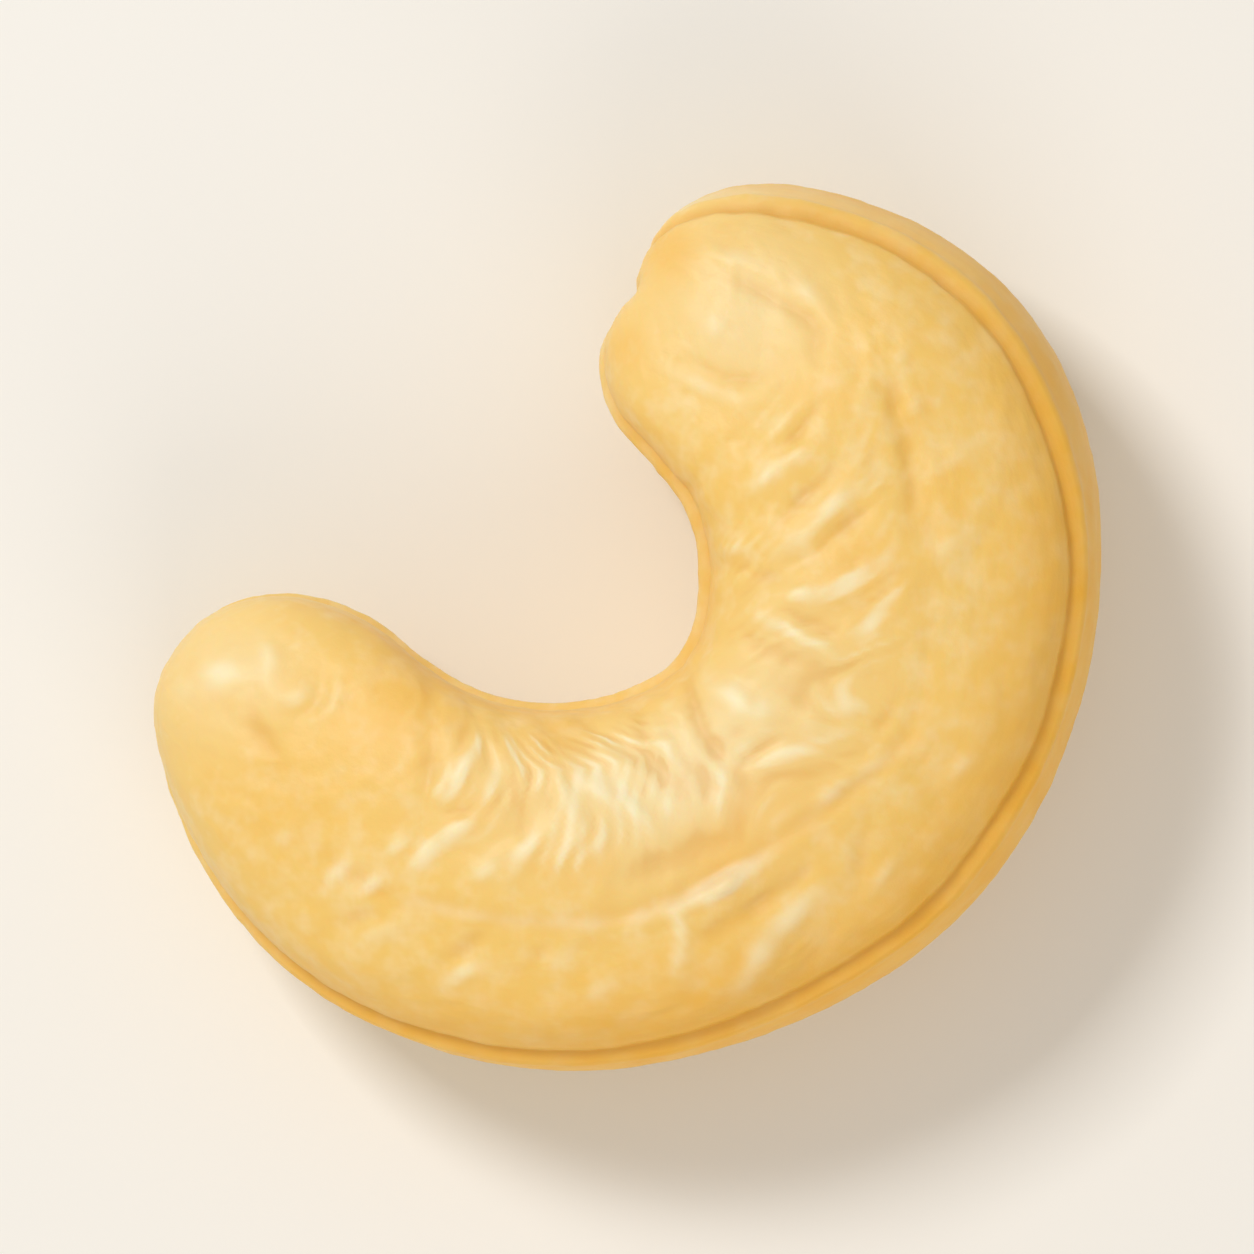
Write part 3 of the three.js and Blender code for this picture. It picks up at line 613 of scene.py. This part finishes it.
def relief_tree():
    """The tree that wrinkles, streaks and dimples the skin along its normals."""
    tree = bpy.data.node_groups.new(RELIEF_TREE, "GeometryNodeTree")
    add_sockets(tree, "INPUT", (
        ("Geometry", "NodeSocketGeometry"),
        ("Wrinkle Height", "NodeSocketFloat"),
        ("Wrinkle Spacing", "NodeSocketFloat"),
        ("Ridge Spacing", "NodeSocketFloat"),
        ("Ridge Share", "NodeSocketFloat"),
        ("Fold Height", "NodeSocketFloat"),
        ("Lump Height", "NodeSocketFloat"),
        ("Streak Height", "NodeSocketFloat"),
        ("Dimple Height", "NodeSocketFloat"),
        ("Dimple Size", "NodeSocketFloat"),
        ("Seed", "NodeSocketInt"),
        ("Lowest Corner", "NodeSocketVector"),
        ("Highest Corner", "NodeSocketVector"),
        ("Material", "NodeSocketMaterial"),
    ))
    add_sockets(tree, "OUTPUT", (("Geometry", "NodeSocketGeometry"),))
    given = tree.nodes.new("NodeGroupInput").outputs

    def attribute(name, kind="FLOAT"):
        made = add_node(tree, "GeometryNodeInputNamedAttribute", {"Name": name}, data_type=kind)
        return made.outputs["Attribute"]

    def noise(vector, detail=1.0, roughness=0.5):
        inputs = {"Vector": vector, "Scale": 1.0, "Detail": detail, "Roughness": roughness}
        made = add_node(tree, "ShaderNodeTexNoise", inputs, noise_dimensions="3D")
        return calculate(tree, "SUBTRACT", made.outputs[0], 0.5)

    position = tree.nodes.new("GeometryNodeInputPosition").outputs[0]
    millimetres = vector_calculate(tree, "MULTIPLY", position, (1000.0, 1000.0, 1000.0))
    inputs = {"Vector": millimetres, "Rotation": (0.5, 0.4, 0.6)}
    turned = add_node(tree, "ShaderNodeVectorRotate", inputs, rotation_type="EULER_XYZ").outputs[0]
    place = add_node(tree, "ShaderNodeSeparateXYZ", {0: attribute("skin_place", "FLOAT_VECTOR")})
    lengthwise, crosswise, side = place.outputs
    seed = calculate(tree, "MULTIPLY", given["Seed"], 3.7)

    def drifting(scale, offset):
        """Slow noise through space, different for each offset and seed."""
        moved = add_node(tree, "ShaderNodeCombineXYZ", {0: seed, 1: offset, 2: 0.0}).outputs[0]
        scaled = vector_calculate(tree, "MULTIPLY", turned, (scale, scale, scale))
        return noise(vector_calculate(tree, "ADD", scaled, moved))

    # Wrinkles: noise drawn out across the kernel and pushed about
    pushed = calculate(tree, "MULTIPLY", drifting(0.4, 11.0), WRINKLE_PUSH)
    run = calculate(tree, "ADD", lengthwise, pushed)
    ridge_push = calculate(tree, "MULTIPLY", drifting(0.3, 71.0), RIDGE_PUSH)
    fine_run = calculate(tree, "DIVIDE", run, given["Wrinkle Spacing"])
    spread = calculate(tree, "MULTIPLY", crosswise, WRINKLE_SPREAD)
    layer = calculate(tree, "ADD", calculate(tree, "MULTIPLY", side, 9.0), seed)
    drawn = add_node(tree, "ShaderNodeCombineXYZ", {0: fine_run, 1: spread, 2: layer}).outputs[0]
    wrinkles = calculate(tree, "MULTIPLY", noise(drawn, detail=0.6, roughness=0.4), 2.0)
    ridge_run = calculate(tree, "ADD", lengthwise, ridge_push)
    turns = calculate(tree, "DIVIDE", ridge_run, given["Ridge Spacing"])
    ridges = calculate(tree, "SINE", calculate(tree, "MULTIPLY", turns, 2 * math.pi))
    ridges = calculate(tree, "MULTIPLY", ridges, ranged(tree, drifting(0.75, 31.0), -0.12, 0.12))
    ridges = calculate(tree, "MULTIPLY", ridges, given["Ridge Share"])
    wrinkles = calculate(tree, "ADD", wrinkles, ridges)
    patches = ranged(tree, drifting(0.3, 23.0), -0.16, 0.1, 0.25, 1.0)
    patches = calculate(tree, "MULTIPLY", patches, attribute("fold_zone"))
    wrinkles = calculate(tree, "MULTIPLY", wrinkles, patches)

    # Broad low folds across the outer half
    inputs = {
        0: calculate(tree, "MULTIPLY", run, FOLD_FINENESS[0]),
        1: calculate(tree, "MULTIPLY", crosswise, FOLD_FINENESS[1]),
        2: calculate(tree, "ADD", layer, 80.0),
    }
    folds = noise(add_node(tree, "ShaderNodeCombineXYZ", inputs).outputs[0], detail=1.0)
    folds = calculate(tree, "MULTIPLY", calculate(tree, "MULTIPLY", folds, 2.0), attribute("outer_zone"))
    height = calculate(tree, "MULTIPLY", wrinkles, given["Wrinkle Height"])
    height = calculate(tree, "ADD", height, calculate(tree, "MULTIPLY", folds, given["Fold Height"]))

    lumps = calculate(tree, "MULTIPLY", drifting(0.9, 57.0), given["Lump Height"])
    height = calculate(tree, "ADD", height, lumps)

    # Streaks: short raised dashes, slanting over the broad sides
    inputs = {
        0: calculate(tree, "MULTIPLY", run, STREAK_FINENESS[0]),
        1: calculate(tree, "MULTIPLY", crosswise, STREAK_FINENESS[1]),
        2: calculate(tree, "ADD", layer, 40.0),
    }
    dashes = noise(add_node(tree, "ShaderNodeCombineXYZ", inputs).outputs[0], detail=0.5)
    dashes = ranged(tree, dashes, -0.1, 0.3)
    dashes = calculate(tree, "MULTIPLY", dashes, attribute("streak_zone"))
    height = calculate(tree, "ADD", height, calculate(tree, "MULTIPLY", dashes, given["Streak Height"]))

    # Dimples: fine grain all over
    fineness = calculate(tree, "DIVIDE", 0.001, given["Dimple Size"])
    grain_place = add_node(tree, "ShaderNodeVectorMath", {0: turned}, operation="SCALE")
    tree.links.new(fineness, grain_place.inputs["Scale"])
    grain = noise(grain_place.outputs[0], detail=2.0)
    height = calculate(tree, "ADD", height, calculate(tree, "MULTIPLY", grain, given["Dimple Height"]))

    normal = tree.nodes.new("GeometryNodeInputNormal").outputs[0]
    offset = add_node(tree, "ShaderNodeVectorMath", {0: normal, "Scale": height}, operation="SCALE")
    inputs = {"Geometry": given["Geometry"], "Offset": offset.outputs[0]}
    moved = add_node(tree, "GeometryNodeSetPosition", inputs)
    kept_in = vector_calculate(tree, "MAXIMUM", position, given["Lowest Corner"])
    kept_in = vector_calculate(tree, "MINIMUM", kept_in, given["Highest Corner"])
    inputs = {"Geometry": moved.outputs[0], "Position": kept_in}
    boxed = add_node(tree, "GeometryNodeSetPosition", inputs)
    raised = calculate(tree, "ADD", wrinkles, calculate(tree, "MULTIPLY", attribute("stroke"), 0.4))
    inputs = {"Geometry": boxed.outputs[0], "Name": "wrinkle", "Value": raised}
    stored = add_node(tree, "GeometryNodeStoreNamedAttribute", inputs, data_type="FLOAT", domain="POINT")
    real = add_node(tree, "GeometryNodeRealizeInstances", {"Geometry": stored.outputs[0]})
    inputs = {"Geometry": real.outputs[0], "Material": given["Material"]}
    coloured = add_node(tree, "GeometryNodeSetMaterial", inputs)
    add_node(tree, "NodeGroupOutput", {"Geometry": coloured.outputs[0]})
    return tree


def apply_tree(base, tree, inputs):
    """The plain mesh that the tree makes of the base object."""
    modifier = base.modifiers.new(tree.name, "NODES")
    modifier.node_group = tree
    for item in tree.interface.items_tree:
        if item.in_out == "INPUT" and item.name in inputs:
            modifier[item.identifier] = inputs[item.name]
    evaluated = base.evaluated_get(bpy.context.evaluated_depsgraph_get())
    mesh = bpy.data.meshes.new_from_object(evaluated)
    base.modifiers.remove(modifier)
    return mesh


# The kernel's mesh

def kernel_base_mesh():
    """The skin as a closed grid: rings of points from tip to tip, and one point on each tip."""
    along, share = np.meshgrid(
        math.pi * np.arange(1, ROWS) / ROWS, np.arange(COLUMNS) / COLUMNS, indexing="ij"
    )
    points, around, values = skin(along, share)
    steps = np.linalg.norm(np.diff(points[:, int(COLUMNS * UPPER_SHARE / 2)], axis=0), axis=-1)
    lengthwise = np.concatenate([[0], np.cumsum(steps)])[:, None] + 0 * along
    from_concave = GIRTH_RADIUS * (math.pi - np.abs(turn_between(around, 0)))
    side = np.where(np.sin(around) >= 0, 1.0, -1.0)
    slant = WRINKLE_SLANT * from_concave
    leaning = 0.75 - 1.2 * fading_in(along, 108, 122)
    inside = np.maximum(WRINKLE_TURN - from_concave, 0)
    outside = np.maximum(from_concave - WRINKLE_TURN, 0)
    chevron = -leaning * inside - outside
    low_arm = fading_in(along, 78, 98)
    lengthwise = lengthwise + slant + low_arm * (chevron - slant)
    place = np.stack([lengthwise, from_concave, side], axis=-1)

    tips = []
    for tip in (1e-3, math.pi - 1e-3):
        ring = skin(np.full((1, COLUMNS), tip), share[:1])[0]
        tips.append(ring.reshape(-1, 3).mean(axis=0))
    flat = np.concatenate([points.reshape(-1, 3), np.array(tips)]) * MM

    # The faces' first and third corners are joined by an edge when they are drawn, so the corners
    # start where that edge runs along the wrinkles and not across them.
    ring = np.arange(COLUMNS)
    beside = (ring + 1) % COLUMNS
    faces = []
    for row in range(ROWS - 2):
        low = row * COLUMNS
        high = low + COLUMNS
        corners = np.stack([low + ring, low + beside, high + beside, high + ring], axis=-1)
        upwards = np.abs(lengthwise[row] - lengthwise[row + 1, beside])
        downwards = np.abs(lengthwise[row, beside] - lengthwise[row + 1])
        turned = np.where((upwards > downwards)[:, None], np.roll(corners, -1, axis=1), corners)
        faces.extend(turned.tolist())
    first = (ROWS - 1) * COLUMNS
    end = (ROWS - 2) * COLUMNS
    faces.extend(zip(np.full(COLUMNS, first), beside, ring))
    faces.extend(zip(np.full(COLUMNS, first + 1), end + ring, end + beside))

    mesh = bpy.data.meshes.new("kernel_base")
    mesh.from_pydata(flat.tolist(), [], [tuple(int(v) for v in face) for face in faces])
    store(mesh, "skin_place", "FLOAT_VECTOR", place, (place[0, 0], place[-1, 0]))
    for name, value in values.items():
        store(mesh, name, "FLOAT", value, (value[0].mean(), value[-1].mean()))
    mesh.shade_smooth()
    return mesh


def store(mesh, name, kind, grid, at_tips):
    """Keeps a value of each point of the skin as a point attribute of the mesh."""
    attribute = mesh.attributes.new(name, kind, "POINT")
    key = "vector" if kind == "FLOAT_VECTOR" else "value"
    flat = np.concatenate([np.ravel(grid), np.ravel(at_tips)]).astype(np.float32)
    attribute.data.foreach_set(key, flat)


# The kernel's material

def flesh_colour_and_painted_light_group():
    """Colours of the flesh: pale patches and ridges, partly paler flesh and partly painted highlight;
    deeper roast and painted shade at the edge; painted shade in the grooves and the valleys.
    """
    tree = bpy.data.node_groups.new("Flesh Colour And Painted Light", "ShaderNodeTree")
    add_sockets(tree, "INPUT", (
        ("Flesh", "NodeSocketColor"),
        ("Pale And Highlight", "NodeSocketColor"),
        ("Toasted And Shaded", "NodeSocketColor"),
        ("Painted Groove Shade", "NodeSocketColor"),
        ("Paleness And Highlight", "NodeSocketFloat"),
        ("Golden And Shade", "NodeSocketFloat"),
        ("Edge", "NodeSocketFloat"),
        ("Groove", "NodeSocketFloat"),
        ("Wrinkle", "NodeSocketFloat"),
        ("Place", "NodeSocketVector"),
    ))
    add_sockets(tree, "OUTPUT", (("Color", "NodeSocketColor"),))
    given = tree.nodes.new("NodeGroupInput").outputs

    def noise(scale, detail):
        inputs = {"Vector": given["Place"], "Scale": scale, "Detail": detail, "Roughness": 0.55}
        return add_node(tree, "ShaderNodeTexNoise", inputs).outputs[0]

    def mixed(amount, a, b):
        made = add_node(tree, "ShaderNodeMix", {"Factor": amount}, data_type="RGBA")
        colours = [socket for socket in made.inputs if socket.type == "RGBA"]
        for socket, value in zip(colours, (a, b)):
            tree.links.new(value, socket)
        return [socket for socket in made.outputs if socket.type == "RGBA"][0]

    clouds = noise(160.0, 3.0)
    # The pale share, partly paler flesh and partly painted highlight, broken up by clouds, with pale
    # flecks.
    paleness_and_highlight = calculate(tree, "MULTIPLY", given["Paleness And Highlight"], ranged(tree, clouds, 0.3, 0.6, 0.75, 1.0))
    flecks = ranged(tree, noise(1300.0, 2.0), 0.3, 0.85, 0.0, 0.28)
    colour = mixed(calculate(tree, "MAXIMUM", paleness_and_highlight, flecks), given["Flesh"], given["Pale And Highlight"])
    # The edge's colour, partly real roast and partly painted shade where the edge turns from the light;
    # the golden patches add painted shade.
    reach = calculate(tree, "ADD", given["Edge"], calculate(tree, "MULTIPLY", clouds, 0.3))
    edge = ranged(tree, reach, 0.5, 1.25)
    blotches = ranged(tree, noise(420.0, 2.0), 0.52, 0.75, 0.0, 0.2)
    uneven = ranged(tree, noise(700.0, 2.0), 0.35, 0.65, 0.97, 0.7)
    toast_and_shade = calculate(tree, "MAXIMUM", calculate(tree, "MULTIPLY", edge, uneven), blotches)
    toast_and_shade = calculate(tree, "MAXIMUM", toast_and_shade, given["Golden And Shade"])
    colour = mixed(toast_and_shade, colour, given["Toasted And Shaded"])
    # Ridges get paler flesh and a painted highlight; the valleys and grooves get painted shade.
    ridge = ranged(tree, given["Wrinkle"], 0.0, 0.7, 0.0, 0.6)
    colour = mixed(ridge, colour, given["Pale And Highlight"])
    valley = ranged(tree, given["Wrinkle"], 0.0, -0.5, 0.0, 0.3)
    shade = calculate(tree, "MAXIMUM", calculate(tree, "MULTIPLY", given["Groove"], 0.5), valley)
    colour = mixed(shade, colour, given["Painted Groove Shade"])
    add_node(tree, "NodeGroupOutput", {"Color": colour})
    return tree


def grain_group():
    """The waxy skin: how rough it is from place to place, and its finest grain."""
    tree = bpy.data.node_groups.new("Waxy Grain", "ShaderNodeTree")
    add_sockets(tree, "INPUT", (
        ("Roughness", "NodeSocketFloat"),
        ("Variation", "NodeSocketFloat"),
        ("Grain Size", "NodeSocketFloat"),
        ("Place", "NodeSocketVector"),
    ))
    add_sockets(tree, "OUTPUT", (("Roughness", "NodeSocketFloat"), ("Height", "NodeSocketFloat")))
    given = tree.nodes.new("NodeGroupInput").outputs

    def noise(scale, detail):
        inputs = {"Vector": given["Place"], "Scale": scale, "Detail": detail}
        return add_node(tree, "ShaderNodeTexNoise", inputs).outputs[0]

    fine = noise(calculate(tree, "DIVIDE", 1.0, given["Grain Size"]), 3.0)
    slow = calculate(tree, "SUBTRACT", noise(350.0, 2.0), 0.5)
    swing = calculate(tree, "MULTIPLY", slow, given["Variation"])
    rough = calculate(tree, "ADD", given["Roughness"], swing)
    add_node(tree, "NodeGroupOutput", {"Roughness": rough, "Height": fine})
    return tree


def flesh_material(look):
    """Roasted flesh: pale gold, waxy, and a little see-through."""
    material = bpy.data.materials.new(FLESH_SLOT)
    material.use_nodes = True
    tree = material.node_tree
    shader = tree.nodes["Principled BSDF"]
    place = tree.nodes.new("ShaderNodeTexCoord").outputs["Object"]

    def attribute(name):
        return add_node(tree, "ShaderNodeAttribute", attribute_name=name).outputs["Fac"]

    # The base colour carries painted light: highlights on the ridges, the bend and the lip's top, and
    # shade at the edge, in the grooves and in the valleys.
    flesh_colour_node = add_node(tree, "ShaderNodeGroup", {
        "Flesh": (*look.flesh, 1.0),
        "Pale And Highlight": (*look.pale, 1.0),
        "Toasted And Shaded": (*look.toasted_and_shaded, 1.0),
        "Painted Groove Shade": (*look.groove, 1.0),
        "Paleness And Highlight": attribute("paleness_and_highlight"),
        "Golden And Shade": attribute("golden_and_shade"),
        "Edge": attribute("edge"),
        "Groove": attribute("groove"),
        "Wrinkle": attribute("wrinkle"),
        "Place": place,
    }, node_tree=flesh_colour_and_painted_light_group())
    grain = add_node(tree, "ShaderNodeGroup", {
        "Roughness": look.roughness,
        "Variation": look.variation,
        "Grain Size": look.grain_size,
        "Place": place,
    }, node_tree=grain_group())
    relief = {"Height": grain.outputs["Height"], "Strength": 0.35, "Distance": look.grain_height}
    bumped = add_node(tree, "ShaderNodeBump", relief)
    tree.links.new(flesh_colour_node.outputs["Color"], shader.inputs["Base Color"])
    tree.links.new(grain.outputs["Roughness"], shader.inputs["Roughness"])
    tree.links.new(bumped.outputs[0], shader.inputs["Normal"])
    shader.inputs["Subsurface Weight"].default_value = look.translucence
    shader.inputs["Subsurface Radius"].default_value = (1.0, 0.5, 0.2)
    shader.inputs["Subsurface Scale"].default_value = 0.7 * MM
    shader.inputs["IOR"].default_value = 1.45
    shader.inputs["Specular IOR Level"].default_value = 0.35
    return material


# The stage

def point_at(item, target):
    item.rotation_euler = (Vector(target) - item.location).to_track_quat("-Z", "Y").to_euler()


def add_softbox(name, location, target, size, power, colour):
    light = bpy.data.lights.new(name, "AREA")
    light.shape = "SQUARE"
    light.size = size
    light.energy = power
    light.color = colour
    item = bpy.data.objects.new(name, light)
    item.location = location
    bpy.context.collection.objects.link(item)
    point_at(item, target)


def linear(red, green, blue):
    """Scene-linear values of a colour given as 0 to 255 on the screen."""
    values = np.array([red, green, blue]) / 255
    return tuple(np.where(values <= 0.04045, values / 12.92, ((values + 0.055) / 1.055) ** 2.4))


# Settings that a user would change

class KernelShape(bpy.types.PropertyGroup):
    wrinkle_height: bpy.props.FloatProperty(
        name="Wrinkle Height", description="Height of the fine wrinkles of the inner bend",
        default=0.055 * MM, unit="LENGTH", precision=5)
    wrinkle_spacing: bpy.props.FloatProperty(
        name="Wrinkle Spacing", description="Distance from wrinkle to wrinkle, in millimetres",
        default=0.55, min=0.1)
    ridge_spacing: bpy.props.FloatProperty(
        name="Ridge Spacing", description="Distance from fine ridge to fine ridge, in millimetres",
        default=0.62, min=0.1)
    ridge_share: bpy.props.FloatProperty(
        name="Ridge Share", description="Height of the fine ridges beside that of the wrinkles",
        default=0.27, min=0)
    fold_height: bpy.props.FloatProperty(
        name="Fold Height", description="Height of the broad low folds of the outer half",
        default=0.06 * MM, unit="LENGTH", precision=5)
    lump_height: bpy.props.FloatProperty(
        name="Lump Height", description="Height of the soft lumps all over",
        default=0.09 * MM, unit="LENGTH", precision=5)
    streak_height: bpy.props.FloatProperty(
        name="Streak Height", description="Height of the short raised streaks",
        default=0.03 * MM, unit="LENGTH", precision=5)
    dimple_height: bpy.props.FloatProperty(
        name="Dimple Height", description="Depth of the fine dimples",
        default=0.07 * MM, unit="LENGTH", precision=6)
    dimple_size: bpy.props.FloatProperty(
        name="Dimple Size", description="Width of the fine dimples",
        default=0.4 * MM, unit="LENGTH", precision=5)
    seed: bpy.props.IntProperty(
        name="Seed", description="Which wrinkles are drawn", default=3)


class KernelLook(bpy.types.PropertyGroup):
    flesh: bpy.props.FloatVectorProperty(
        name="Flesh", description="Main colour of the flesh",
        default=linear(244, 204, 114), subtype="COLOR", min=0, max=1)
    # The pale colour is paler flesh and also painted highlight.
    pale: bpy.props.FloatVectorProperty(
        name="Pale And Highlight", description="Colour of the paler crowns",
        default=linear(255, 247, 216), subtype="COLOR", min=0, max=1)
    # The edges' colour: deeper roast and also painted shade.
    toasted_and_shaded: bpy.props.FloatVectorProperty(
        name="Toasted And Shaded", description="Colour of the deeper roasted edges",
        default=linear(242, 182, 62), subtype="COLOR", min=0, max=1)
    # The colour of the painted shade in the seam, the creases and the valleys.
    groove: bpy.props.FloatVectorProperty(
        name="Painted Groove Shade", description="Colour in the seam and the creases",
        default=linear(222, 160, 52), subtype="COLOR", min=0, max=1)
    roughness: bpy.props.FloatProperty(
        name="Roughness", description="Roughness of the waxy skin",
        default=0.46, min=0, max=1, subtype="FACTOR")
    variation: bpy.props.FloatProperty(
        name="Variation", description="How much the roughness changes from place to place",
        default=0.16, min=0, max=1, subtype="FACTOR")
    grain_size: bpy.props.FloatProperty(
        name="Grain Size", description="Width of the finest grain",
        default=0.16 * MM, unit="LENGTH", precision=5)
    grain_height: bpy.props.FloatProperty(
        name="Grain Height", description="Height of the finest grain",
        default=0.02 * MM, unit="LENGTH", precision=5)
    translucence: bpy.props.FloatProperty(
        name="Translucence", description="How much light passes through the flesh",
        default=0.3, min=0, max=1, subtype="FACTOR")


class StageSettings(bpy.types.PropertyGroup):
    floor_colour: bpy.props.FloatVectorProperty(
        name="Floor", description="Colour of the floor",
        default=linear(244, 243, 240), subtype="COLOR", min=0, max=1)
    floor_size: bpy.props.FloatProperty(
        name="Floor Size", description="Width of the floor", default=2.0, unit="LENGTH")
    key_power: bpy.props.FloatProperty(
        name="Key Light", description="Power of the main softbox", default=0.56, unit="POWER")
    fill_power: bpy.props.FloatProperty(
        name="Fill Light", description="Power of the fill softbox", default=0.2, unit="POWER")
    frame_width: bpy.props.FloatProperty(
        name="Frame Width", description="Width that the picture takes in at the kernel",
        default=33 * MM, unit="LENGTH", precision=4)


class CASHEW_OT_kernel(bpy.types.Operator):
    """Builds the kernel with its wrinkled skin and its material"""

    bl_idname = "cashew.kernel"
    bl_label = "Kernel"

    def execute(self, context):
        shape = context.scene.cashew_shape
        base = bpy.data.objects.new("kernel_base", kernel_base_mesh())
        context.collection.objects.link(base)
        low, high = SOLID_BOX
        mesh = apply_tree(base, relief_tree(), {
            "Wrinkle Height": shape.wrinkle_height,
            "Wrinkle Spacing": shape.wrinkle_spacing,
            "Ridge Spacing": shape.ridge_spacing,
            "Ridge Share": shape.ridge_share,
            "Fold Height": shape.fold_height,
            "Lump Height": shape.lump_height,
            "Streak Height": shape.streak_height,
            "Dimple Height": shape.dimple_height,
            "Dimple Size": shape.dimple_size,
            "Seed": shape.seed,
            "Lowest Corner": low,
            "Highest Corner": high,
            "Material": flesh_material(context.scene.cashew_look),
        })
        bpy.data.objects.remove(base)
        kernel = bpy.data.objects.new("roasted_kernel", mesh)
        context.collection.objects.link(kernel)
        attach(kernel, "root")
        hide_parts(NODE)
        return {"FINISHED"}


class CASHEW_OT_stage(bpy.types.Operator):
    """Builds the pale floor, the softboxes and the camera that looks straight down"""

    bl_idname = "cashew.stage"
    bl_label = "Stage"

    def execute(self, context):
        settings = context.scene.cashew_stage
        low, high = (Vector(corner) for corner in SOLID_BOX)
        middle_point = (low + high) / 2

        bpy.ops.mesh.primitive_plane_add(size=settings.floor_size, location=(0, 0, 0))
        floor = context.object
        floor.name = "floor"
        paint = bpy.data.materials.new("floor_paint")
        paint.use_nodes = True
        shader = paint.node_tree.nodes["Principled BSDF"]
        shader.inputs["Base Color"].default_value = (*settings.floor_colour, 1.0)
        shader.inputs["Roughness"].default_value = 0.9
        floor.data.materials.append(paint)

        add_softbox("key", KEY_PLACE, middle_point, KEY_WIDTH, settings.key_power, KEY_COLOUR)
        add_softbox("fill", FILL_PLACE, middle_point, FILL_WIDTH, settings.fill_power, FILL_COLOUR)

        world = bpy.data.worlds.new("studio")
        world.use_nodes = True
        background = world.node_tree.nodes["Background"]
        background.inputs["Color"].default_value = ROOM_COLOUR
        background.inputs["Strength"].default_value = ROOM_STRENGTH
        context.scene.world = world
        context.scene.view_settings.view_transform = "Standard"

        lens = bpy.data.cameras.new("camera")
        lens.lens = LENS
        lens.sensor_width = SENSOR_WIDTH
        camera = bpy.data.objects.new("camera", lens)
        distance = settings.frame_width * lens.lens / lens.sensor_width
        camera.location = middle_point + Vector((0, 0, distance + high.z - middle_point.z))
        lens.clip_start = 0.01
        context.collection.objects.link(camera)
        context.scene.camera = camera
        return {"FINISHED"}


class CASHEW_PT_panel(bpy.types.Panel):
    bl_label = "Cashew"
    bl_idname = "CASHEW_PT_panel"
    bl_space_type = "VIEW_3D"
    bl_region_type = "UI"
    bl_category = "Cashew"

    def draw(self, context):
        scene = context.scene
        for settings in (scene.cashew_shape, scene.cashew_look, scene.cashew_stage):
            box = self.layout.box()
            for name in settings.__annotations__:
                box.prop(settings, name)
        for operator in (CASHEW_OT_kernel, CASHEW_OT_stage):
            self.layout.operator(operator.bl_idname)


CLASSES = (
    KernelShape, KernelLook, StageSettings, CASHEW_OT_kernel, CASHEW_OT_stage, CASHEW_PT_panel
)


def register():
    for cls in CLASSES:
        bpy.utils.register_class(cls)
    bpy.types.Scene.cashew_shape = bpy.props.PointerProperty(type=KernelShape)
    bpy.types.Scene.cashew_look = bpy.props.PointerProperty(type=KernelLook)
    bpy.types.Scene.cashew_stage = bpy.props.PointerProperty(type=StageSettings)


def unregister():
    del bpy.types.Scene.cashew_stage
    del bpy.types.Scene.cashew_look
    del bpy.types.Scene.cashew_shape
    for cls in reversed(CLASSES):
        bpy.utils.unregister_class(cls)


def main():
    register()
    bpy.ops.cashew.kernel()
    bpy.ops.cashew.stage()


if __name__ == "__main__":
    main()
